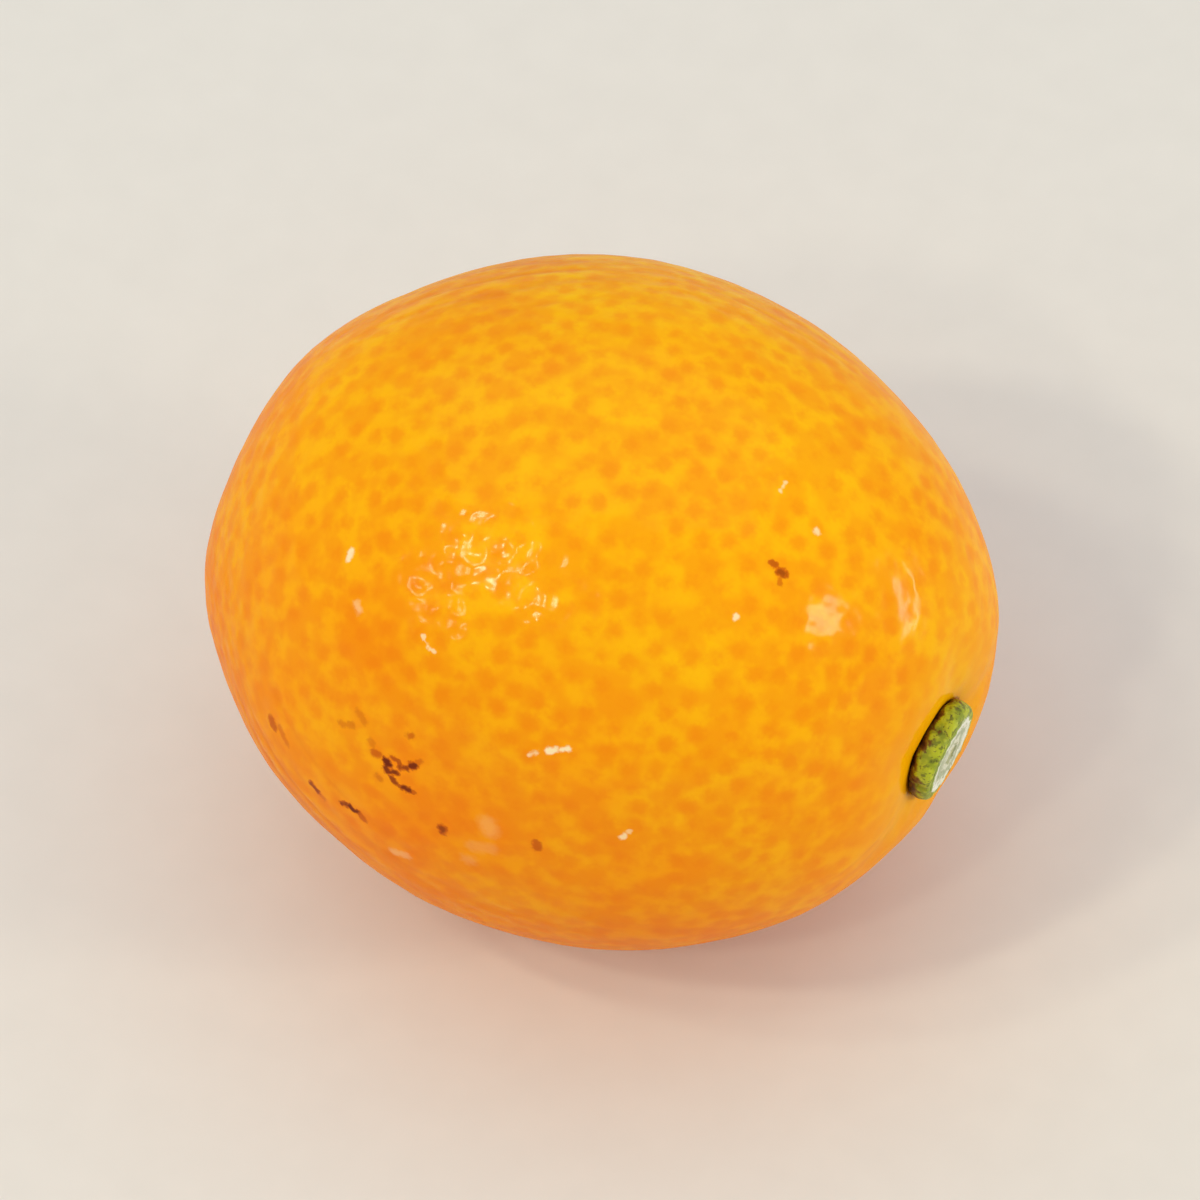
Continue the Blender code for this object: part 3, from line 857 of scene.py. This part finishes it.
# %% Calyx material
def finish_calyx(material):
    material.use_nodes = True
    tree = material.node_tree
    shader = tree.nodes["Principled BSDF"]
    where = add(tree, "ShaderNodeTexCoord").outputs["Object"]
    place_mm = add(tree, "ShaderNodeVectorMath", {0: where, "Scale": 1 / MM}, operation="SCALE").outputs[0]
    patches = add(tree, "ShaderNodeTexNoise", {"Vector": place_mm, "Scale": 1.1, "Detail": 2.0}).outputs[0]
    blotches = add(tree, "ShaderNodeTexNoise", {"Vector": place_mm, "Scale": 2.3, "Detail": 3.0}).outputs[0]
    grain = add(tree, "ShaderNodeTexNoise", {"Vector": place_mm, "Scale": 7.0, "Detail": 3.0}).outputs[0]
    wart = add(tree, "ShaderNodeAttribute", attribute_name="gland").outputs["Fac"]
    from_seat = add(tree, "ShaderNodeVectorMath", {0: place_mm, 1: tuple(SEAT.translation / MM)},
                    operation="SUBTRACT")
    height = add(tree, "ShaderNodeVectorMath", {0: from_seat.outputs[0], 1: tuple(SEAT.col[2].to_3d())},
                 operation="DOT_PRODUCT")
    green = over(tree, colour("#84940A"), faded(tree, patches, 0.62, 0.38), colour("#B4C014"))
    green = over(tree, green, faded(tree, wart, 0.9, 0.2, 0.45), colour("#CFD63A"))
    green = over(tree, green, faded(tree, blotches, 0.35, 0.46, 0.7), colour("#4E5A08"))
    green = over(tree, green, faded(tree, grain, 0.34, 0.41, 0.7), colour("#4A3408"))
    split = add(tree, "ShaderNodeSeparateXYZ", {0: from_seat.outputs[0]})
    lower_side = add(tree, "ShaderNodeMath", {0: split.outputs["Z"], 1: 0.07, 2: height.outputs["Value"]},
                     operation="MULTIPLY_ADD").outputs[0]
    ragged = add(tree, "ShaderNodeMath", {0: blotches, 1: 1.6, 2: lower_side},
                 operation="MULTIPLY_ADD").outputs[0]
    dried = over(tree, green, faded(tree, ragged, 1.70, 1.96, 0.85), colour("#6A2A08"))
    dried = over(tree, dried, faded(tree, ragged, 1.44, 1.68, 0.9), colour("#340E06"))
    bump = add(tree, "ShaderNodeBump", {"Height": grain, "Strength": 0.6, "Distance": 0.03 * MM})
    tree.links.new(dried, shader.inputs["Base Color"])
    tree.links.new(bump.outputs[0], shader.inputs["Normal"])
    shader.inputs["Roughness"].default_value = 0.46
    shader.inputs["IOR"].default_value = 1.45


finish_calyx(calyx_finish)
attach(calyx, "root")
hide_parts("calyx")


# %% [markdown]
# ## Cut stalk
#
# Clippers took the fruit off its twig and left a flat cut: bark and young wood outside, and
# in the middle the pith, which has shrunk inside a pale ring and cracked away from it as it
# dried. It could be a plain disc with a painted target, but then a low side view would show
# nothing. So the rings wander, and the dents, the ring and the cracks are in the mesh.

# %% Stub mesh
STUB_RADIUS = SOCKET_RADIUS + 0.02 * MM
STUB_TOP = 1.58 * MM
STUB_ROUND = 0.08 * MM
STUB_DISH = 0.07 * MM
STUB_STEPS = 200
STUB_RINGS = 44
PITH_RADIUS = 0.46 * MM
PITH_RING = 0.66 * MM
CRACK_DEPTH = 0.13 * MM
EDGE_CRACK_RADIUS = 1.50 * MM
EDGE_CRACK_AT = 2.3


def wandering_radius(points):
    """Distance from the stub's middle, bent so that its rings aren't true circles."""
    flat = points * np.array([1, 1, 0])
    bend = 0.16 * wavy(flat / MM, 0.9, UNEVEN_OFFSET) + 0.07 * wavy(flat / MM, 3.1, UNEVEN_OFFSET)
    return np.hypot(points[:, 0], points[:, 1]) + bend * MM


def cracks_at(points):
    """From 0 on sound wood to 1 in a crack: broken arcs round the pith, and one near the edge."""
    radius = wandering_radius(points)
    turn = np.arctan2(points[:, 1], points[:, 0])
    broken = np.clip(2.5 * wavy(points * np.array([1, 1, 0]) / MM, 2.2, -UNEVEN_OFFSET) + 0.5, 0, 1)
    ring = bell(radius - PITH_RADIUS, 0.07 * MM) * broken
    edge = bell(radius - EDGE_CRACK_RADIUS, 0.05 * MM) * bell(turn - EDGE_CRACK_AT, 0.30)
    return np.maximum(ring, edge)


def stub_points(points):
    """The cut face: dished, dented, ringed, cracked and slanted."""
    radius = wandering_radius(points)
    top = points[:, 2] > STUB_TOP - STUB_ROUND * 0.7
    relief = -STUB_DISH * (1 - (radius / SOCKET_RADIUS) ** 2)
    relief += 0.07 * MM * bell(radius - PITH_RING, 0.12 * MM) - CRACK_DEPTH * cracks_at(points)
    dents = 0.05 * MM * wavy(points / MM, 2.4, UNEVEN_OFFSET)
    relief += dents + 0.02 * MM * wavy(points / MM, 7.0, UNEVEN_OFFSET)
    lift = np.where(top, relief, 0) + slant(points, SOCKET_FLOOR, STUB_TOP)
    return np.stack([points[:, 0], points[:, 1], points[:, 2] + lift], -1)


def stub_section():
    """From the middle of the foot, out and up the side, round the edge and back to the middle."""
    flat = STUB_RADIUS - STUB_ROUND
    foot = SOCKET_FLOOR - STUB_ROUND
    side = [(0, foot), (STUB_RADIUS, foot), (STUB_RADIUS, STUB_TOP - STUB_ROUND)]
    edge = arc((flat, STUB_TOP - STUB_ROUND), STUB_ROUND, 0, 90, 5)
    return side + edge + [(flat * (1 - i / STUB_RINGS), STUB_TOP) for i in range(1, STUB_RINGS + 1)]


stub_mesh = turned("cut_stalk", stub_section(), STUB_STEPS, stub_points)
cracked = cracks_at(points_of(stub_mesh))
stub_mesh.attributes.new("crack", "FLOAT", "POINT").data.foreach_set("value", cracked.astype(np.float32))
stub_mesh.transform(SEAT)
stub = bpy.data.objects.new("cut_stalk", stub_mesh)
bpy.context.scene.collection.objects.link(stub)
print("stub:", len(stub_mesh.polygons), "faces")


# %% [markdown]
# ## Cut wood finish
#
# Soft green wood, clipped and dried for a few days: chalky, pale sage with cream and olive
# mottles, whiter on the pith's ring and at the outer wood, dark in the cracks. It is matt, so
# the eye takes it for cork beside the glossy peel.

# %% Stub material
# Each ring is a share of the way from the middle to the edge, and its colour
WOOD_RINGS = [
    (0.14, "#B9B88A"), (0.28, "#A6AC88"), (0.34, "#DCDCCA"), (0.44, "#D6D8C4"),
    (0.54, "#AEB69A"), (0.68, "#B6BEA2"), (0.76, "#DADDCC"), (0.90, "#EEF0E6"), (0.985, "#9AAC50"),
]


def finish_stub():
    material = bpy.data.materials.new("clipped green wood")
    material.use_nodes = True
    tree = material.node_tree
    shader = tree.nodes["Principled BSDF"]
    where = add(tree, "ShaderNodeTexCoord").outputs["Object"]
    place_mm = add(tree, "ShaderNodeVectorMath", {0: where, "Scale": 1 / MM}, operation="SCALE").outputs[0]
    crown = (SEAT.translation + SEAT.col[2].to_3d() * STUB_TOP) / MM
    radius = add(tree, "ShaderNodeVectorMath", {0: place_mm, 1: tuple(crown)}, operation="DISTANCE")
    bend = add(tree, "ShaderNodeTexNoise", {"Vector": place_mm, "Scale": 1.3, "Detail": 2.0}).outputs[0]
    grain = add(tree, "ShaderNodeTexNoise", {"Vector": place_mm, "Scale": 4.5, "Detail": 4.0}).outputs[0]
    crack = add(tree, "ShaderNodeAttribute", attribute_name="crack").outputs["Fac"]
    bent = add(tree, "ShaderNodeMath", {0: bend, 1: 0.9, 2: radius.outputs["Value"]},
               operation="MULTIPLY_ADD")
    uneven = add(tree, "ShaderNodeMath", {0: grain, 1: 0.5, 2: bent.outputs[0]}, operation="MULTIPLY_ADD")
    ringed = add(tree, "ShaderNodeMapRange", {"Value": uneven.outputs[0], "From Min": 0.6, "From Max": 2.68})
    rings = add(tree, "ShaderNodeValToRGB", {"Fac": ringed.outputs[0]})
    ramp = rings.color_ramp
    ramp.elements[0].position, first = WOOD_RINGS[0]
    ramp.elements[0].color = colour(first)
    ramp.elements[1].position, last = WOOD_RINGS[-1]
    ramp.elements[1].color = colour(last)
    for position, text in WOOD_RINGS[1:-1]:
        ramp.elements.new(position).color = colour(text)
    wood = over(tree, rings.outputs[0], faded(tree, grain, 0.34, 0.42, 0.6), colour("#8B8A4C"))
    wood = over(tree, wood, faded(tree, crack, 0.7, 0.2, 0.95), colour("#2A1C08"))
    bump = add(tree, "ShaderNodeBump", {"Height": grain, "Strength": 0.8, "Distance": 0.04 * MM})
    tree.links.new(wood, shader.inputs["Base Color"])
    tree.links.new(bump.outputs[0], shader.inputs["Normal"])
    shader.inputs["Roughness"].default_value = 0.75
    shader.inputs["IOR"].default_value = 1.5
    return material


stub_mesh.materials.append(finish_stub())
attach(stub, "root")
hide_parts("stem_stub")


# %% [markdown]
# ## Dry tip
#
# At the far end the flower's style dropped off and left a hard brown point, about a
# millimetre across. A small ball, squashed and roughened, sits in the pit there. Dead plant
# tissue has no wax and a broken surface, so it scatters all its light and shows no glint: the
# eye reads a dry, dull spot in the shiny peel.

# %% Style remnant
STYLE_RADIUS = 0.48 * MM
STYLE_HEIGHT = 0.30 * MM
STYLE_RAGGEDNESS = 0.30


def style_mesh():
    bm = bmesh.new()
    bmesh.ops.create_uvsphere(bm, u_segments=48, v_segments=32, radius=1)
    sort_faces(bm)
    mesh = bpy.data.meshes.new("dry_style")
    bm.to_mesh(mesh)
    bm.free()
    points = points_of(mesh)
    ragged = 1 + STYLE_RAGGEDNESS * wavy(points, 2.2, UNEVEN_OFFSET)
    points *= ragged[:, None] * np.array([STYLE_RADIUS, STYLE_RADIUS, STYLE_HEIGHT])
    set_points(mesh, points)
    mesh.shade_smooth()
    mesh.transform(TIP)
    return mesh


def finish_style():
    material = bpy.data.materials.new("dry brown style")
    material.use_nodes = True
    tree = material.node_tree
    shader = tree.nodes["Principled BSDF"]
    where = add(tree, "ShaderNodeTexCoord").outputs["Object"]
    grain = add(tree, "ShaderNodeTexNoise", {"Vector": where, "Scale": 5 / MM, "Detail": 3.0})
    brown = add(tree, "ShaderNodeMix", {0: grain.outputs[0], 6: colour("#4A260E"), 7: colour("#8E5A2C")},
                data_type="RGBA")
    bump = add(tree, "ShaderNodeBump", {"Height": grain.outputs[0], "Strength": 0.8, "Distance": 0.05 * MM})
    tree.links.new(brown.outputs[2], shader.inputs["Base Color"])
    tree.links.new(bump.outputs[0], shader.inputs["Normal"])
    shader.inputs["Roughness"].default_value = 0.8
    return material


style = bpy.data.objects.new("dry_style", style_mesh())
bpy.context.scene.collection.objects.link(style)
style.data.materials.append(finish_style())
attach(style, "root")


# %% [markdown]
# ## Floor and light
#
# A matt white board under the fruit has no shine, so the eye sees only the fruit's soft shadow
# and the orange that its skin throws back. A board's fibres are too fine to show, so its faint
# grain is drawn about 2.5 mm wide. Around it are a bright even room and a few softboxes. Their
# places come from the lights on the photographed fruit, because a mirror at that point of the
# skin would show the box: a window of several panes at the front left, and two narrow ones low
# on the right. The window light is a little warm, which keeps its reflections cream. Each box
# is turned by the viewer's own up, so that a tall box stays tall.

# %% Floor
BOARD_GRAIN = 2.5 * MM


def finish_floor():
    material = bpy.data.materials.new("matt white board")
    material.use_nodes = True
    tree = material.node_tree
    shader = tree.nodes["Principled BSDF"]
    where = add(tree, "ShaderNodeTexCoord").outputs["Object"]
    grain = add(tree, "ShaderNodeTexNoise", {"Vector": where, "Scale": 1 / BOARD_GRAIN, "Detail": 2.0})
    tone = add(tree, "ShaderNodeMix", {0: grain.outputs[0], 6: colour("#DEDEDB"), 7: colour("#E3E3E0")},
               data_type="RGBA")
    tree.links.new(tone.outputs[2], shader.inputs["Base Color"])
    shader.inputs["Roughness"].default_value = 0.9
    return material


bpy.ops.mesh.primitive_plane_add(size=4, location=(0, 0, 0))
floor = bpy.context.object
floor.name = "floor"
floor.data.materials.append(finish_floor())


# %% Softboxes and room
WARM_WINDOW = "#FFF1D4"
NEUTRAL = "#FFFFFF"


def softbox(name, direction, distance, size, brightness, tint):
    """An area light in a direction given in the viewer's own axes, aimed at the fruit."""
    right, up, back = direction
    away = (VIEW_RIGHT * right + VIEW_UP * up + TO_VIEWER * back).normalized()
    across = VIEW_UP.cross(away).normalized()
    data = bpy.data.lights.new(name, "AREA")
    data.shape = "RECTANGLE"
    data.size, data.size_y = size
    data.color = colour(tint)[:3]
    data.energy = brightness * math.pi * size[0] * size[1]
    box = bpy.data.objects.new(name, data)
    box.rotation_mode = "QUATERNION"
    box.rotation_quaternion = Matrix((across, away.cross(across), away)).transposed().to_quaternion()
    box.location = middle + away * distance
    bpy.context.scene.collection.objects.link(box)


PANE_DISTANCE = 0.55
PANE_SIZE = (0.032, 0.032)
ROOM_BRIGHTNESS = 0.63
# Each pane is a direction, to the right, up and towards the viewer, and a brightness
LEFT_PANES = [
    (-0.52, 0.18, 0.84, 100), (-0.57, 0.36, 0.74, 60), (-0.73, 0.15, 0.66, 36),
    (-0.72, -0.04, 0.69, 28), (-0.33, 0.00, 0.94, 66), (-0.39, 0.30, 0.87, 40),
]
for number, (right, up, back, brightness) in enumerate(LEFT_PANES):
    softbox(f"left_pane_{number}", (right, up, back), PANE_DISTANCE, PANE_SIZE, brightness, WARM_WINDOW)
softbox("right_box", (0.885, 0.00, 0.465), 0.50, (0.115, 0.07), 20, WARM_WINDOW)
softbox("far_right_box", (0.985, 0.06, 0.03), 0.50, (0.026, 0.18), 22, WARM_WINDOW)
softbox("overhead_box", (-0.05, 0.88, 0.45), 0.90, (1.40, 1.00), 0.34, NEUTRAL)

world = bpy.data.worlds.new("bright room")
bpy.context.scene.world = world
world.use_nodes = True
world.node_tree.nodes["Background"].inputs["Color"].default_value = colour("#F8F9FA")
world.node_tree.nodes["Background"].inputs["Strength"].default_value = ROOM_BRIGHTNESS
bpy.context.scene.view_settings.view_transform = "Standard"
